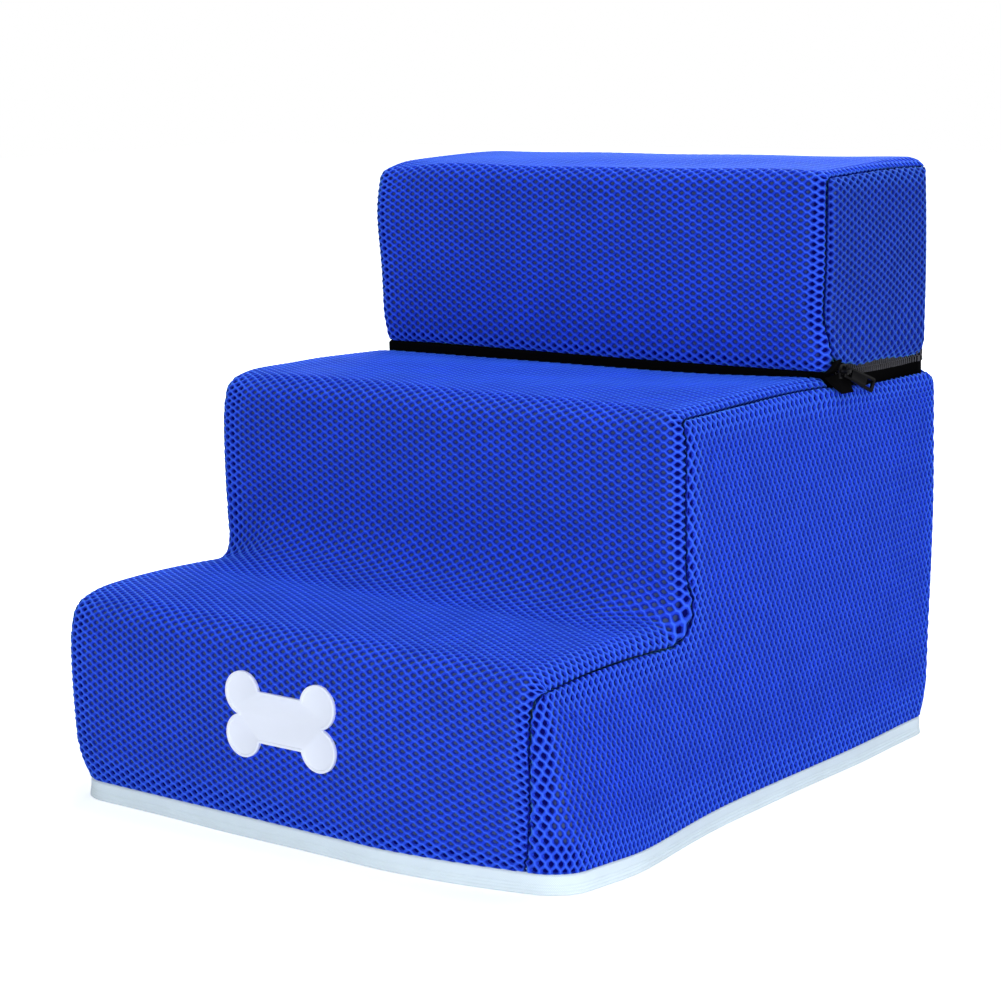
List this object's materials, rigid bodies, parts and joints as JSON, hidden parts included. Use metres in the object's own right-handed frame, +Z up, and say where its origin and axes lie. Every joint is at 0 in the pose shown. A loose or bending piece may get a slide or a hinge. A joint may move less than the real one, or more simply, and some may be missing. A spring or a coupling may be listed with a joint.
{
  "type": "pet stairs",
  "caption": "Soft stepped pet stairs in mesh over foam, with a top block on a cloth hinge and a zip, a hem band and a blank bone badge.",
  "frame": {"origin": "on the floor, under the middle of the plan", "axes": "+Z up, +Y towards the back (the tall end), +X towards the right seen from the front"},
  "size_m": [0.3539, 0.4148, 0.367],
  "materials": {
    "mesh_blue": "air mesh",
    "lining_grey": "matt cloth",
    "cloth_black": "woven tape",
    "cloth_grey": "matt cloth",
    "band_white": "ribbed band",
    "foam_cream": "cut foam",
    "badge_white": "satin",
    "coil_black": "satin",
    "slider_black": "gloss"
  },
  "bodies": {
    "base": {"base_front_cover": "mesh_blue", "base_right_cover": "mesh_blue", "base_left_cover": "mesh_blue", "base_back_cover": "mesh_blue", "base_lining": "lining_grey", "base_deck_cover": "cloth_grey", "bottom_cloth": "cloth_grey", "lower_hinge_leaf": "cloth_black", "lower_zip_tape": "cloth_black", "hem_band": "band_white", "lower_foam_slab": "foam_cream", "upper_foam_slab": "foam_cream", "tread_1_pad": "foam_cream", "tread_2_pad": "foam_cream", "bone_badge": "badge_white", "lower_zip_coil": "coil_black", "lower_end_stop": "coil_black", "left_end_stop": "coil_black"},
    "top_block": {"top_strip_cover": "mesh_blue", "top_right_cover": "mesh_blue", "top_left_cover": "mesh_blue", "top_bottom_cover": "cloth_grey", "top_lining": "lining_grey", "top_foam_slab": "foam_cream", "top_pad": "foam_cream", "upper_hinge_leaf": "cloth_black", "upper_zip_tape": "cloth_black", "upper_zip_coil": "coil_black", "upper_end_stop": "coil_black"},
    "slider": {"slider": "slider_black"},
    "pull_tab": {"pull_tab": "slider_black"}
  },
  "joints": [
    {"name": "top_block_hinge", "type": "hinge", "parent": "base", "child": "top_block", "pos_m": [0, 0.0804, 0.2415], "axis": [1, 0, 0], "range_deg": [0, 85]},
    {"name": "slider_travel", "type": "slide", "parent": "base", "child": "slider", "axis": [0, 1, 0], "range_m": [0, 0.078]},
    {"name": "pull_tab_hinge", "type": "hinge", "parent": "slider", "child": "pull_tab", "pos_m": [0.1735, 0.1003, 0.2415], "axis": [0, -0.4226, -0.9063], "range_deg": [0, 150]}
  ]
}
